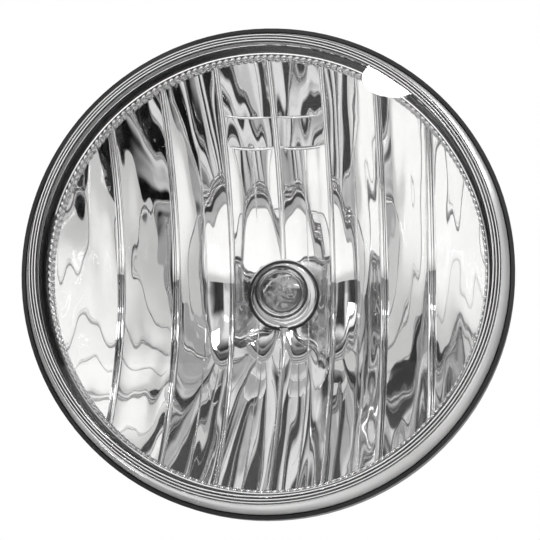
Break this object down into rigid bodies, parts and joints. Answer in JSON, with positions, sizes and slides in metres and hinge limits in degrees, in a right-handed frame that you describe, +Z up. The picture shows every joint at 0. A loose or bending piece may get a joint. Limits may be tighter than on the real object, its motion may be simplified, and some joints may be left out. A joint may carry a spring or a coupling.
{
  "type": "fog light",
  "caption": "Round fog lamp with a clear domed lens, a faceted mirror bowl, a twist-lock bulb and a bolt-on tilting bracket with a screw adjuster.",
  "frame": {"origin": "centre of the three bracket bolt holes, on the back face of the bracket", "axes": "+Y runs from the lens to the bracket's back face, so the lamp looks along -Y; +Z is up, with the adjuster on top; +X is on the right of someone facing the lens"},
  "size_m": [0.115, 0.0941, 0.118],
  "materials": {
    "lens_glass": "clear polished",
    "sealant": "matt",
    "reflector_chrome": "mirror bright",
    "housing_plastic": "fine grained",
    "bracket_steel": "satin black coat",
    "nylon": "natural, smooth",
    "zinc_steel": "zinc plated",
    "insert_brass": "bright",
    "washer_steel": "plain",
    "spring_steel": "oil blackened",
    "vent_rubber": "matt",
    "membrane": "felt-like",
    "quartz": "clear polished",
    "tungsten": "drawn wire",
    "post_wire": "drawn wire",
    "collar_steel": "bright stainless",
    "bulb_plastic": "satin moulded",
    "terminal_tin": "tin plated",
    "silicone": "smooth"
  },
  "bodies": {
    "bracket": {"bracket": "bracket_steel", "pivot_bushes": "nylon", "adjuster_bush": "nylon"},
    "lamp": {"housing": "housing_plastic", "reflector": "reflector_chrome", "lens": "lens_glass", "lens_sealant": "sealant", "boss_inserts": "insert_brass", "pivot_screws": "zinc_steel", "pivot_washers": "washer_steel", "reflector_screws": "zinc_steel", "vent_cap": "vent_rubber", "vent_membrane": "membrane"},
    "bulb": {"bulb_base": "bulb_plastic", "bulb_collar": "collar_steel", "bulb_glass": "quartz", "bulb_filament": "tungsten", "bulb_posts": "post_wire", "bulb_leads": "post_wire", "bulb_terminals": "terminal_tin", "bulb_seal": "silicone"},
    "adjuster_screw": {"adjuster_screw": "zinc_steel", "adjuster_retainer": "spring_steel"},
    "adjuster_nut": {"adjuster_nut": "nylon"}
  },
  "joints": [
    {"name": "lamp_tilt", "type": "hinge", "parent": "bracket", "child": "lamp", "pos_m": [0, -0.026, 0], "axis": [1, 0, 0], "range_deg": [-4, 4]},
    {"name": "adjuster_spin", "type": "hinge", "parent": "bracket", "child": "adjuster_screw", "pos_m": [0, 0, 0.052], "axis": [0, 1, 0], "range_deg": [-656, 656]},
    {"name": "nut_travel", "type": "slide", "parent": "bracket", "child": "adjuster_nut", "axis": [0, -1, 0], "range_m": [-0.0037, 0.0037]},
    {"name": "bulb_twist", "type": "hinge", "parent": "lamp", "child": "bulb", "pos_m": [0, 0, 0], "axis": [0, 1, 0], "range_deg": [0, 40]}
  ],
  "couplings": [
    {"joint": "adjuster_spin", "follows": "lamp_tilt", "ratio": 163.36},
    {"joint": "nut_travel", "follows": "lamp_tilt", "m_per_rad": 0.052}
  ]
}
